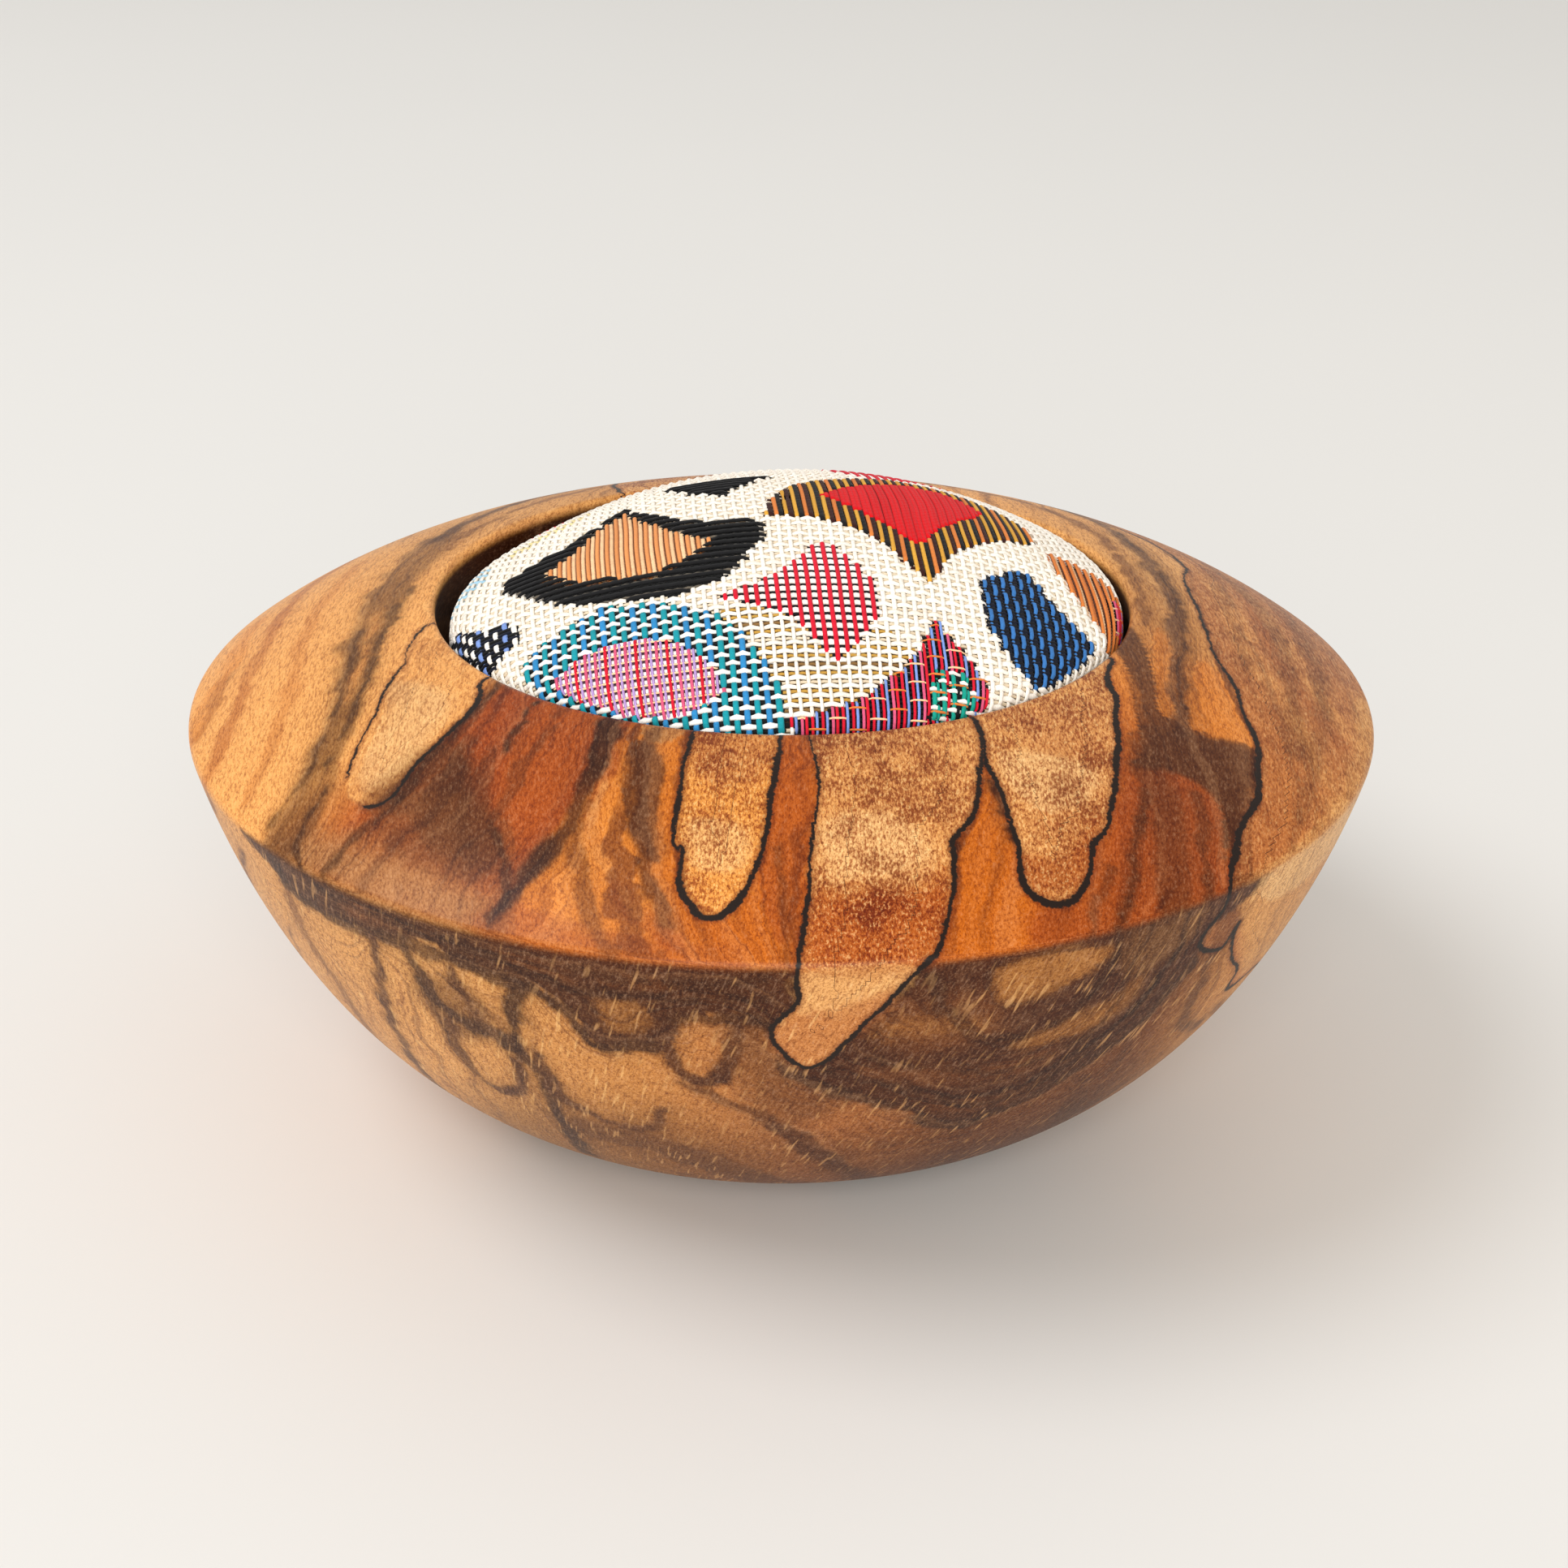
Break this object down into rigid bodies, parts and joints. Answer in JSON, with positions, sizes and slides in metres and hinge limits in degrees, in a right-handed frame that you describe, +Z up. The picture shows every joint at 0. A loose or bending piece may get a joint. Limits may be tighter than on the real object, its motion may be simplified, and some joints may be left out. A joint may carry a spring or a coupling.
{
  "type": "pin cushion",
  "caption": "Turned spalted-wood bowl with a round recess that holds a domed, tapestry-covered stuffed cushion for pins and needles; the cushion lifts out.",
  "frame": {"origin": "centre of the foot's flat resting face, on the bowl's turning axis", "axes": "+Z up along the turning axis, towards the cushion's crown; the part is round about it"},
  "size_m": [0.116, 0.116, 0.0587],
  "materials": {
    "turned_wood": "oiled and waxed, satin, spalted figure with dark zone lines",
    "tapestry_cloth": "coarse woven tapestry, cream ground with coloured geometric figures",
    "calico": "plain unbleached cotton",
    "fibre_filling": "packed white fibre",
    "plywood": "sanded, unfinished",
    "thread": "twisted cotton"
  },
  "bodies": {
    "bowl": {"bowl": "turned_wood"},
    "cushion": {"cushion_cover": "tapestry_cloth", "cushion_liner": "calico", "stuffing": "fibre_filling", "backing_disc": "plywood", "gathering_thread": "thread"}
  },
  "joints": [
    {"name": "cushion_lift", "type": "slide", "parent": "bowl", "child": "cushion", "axis": [0, 0, 1], "range_m": [0, 0.045]}
  ]
}
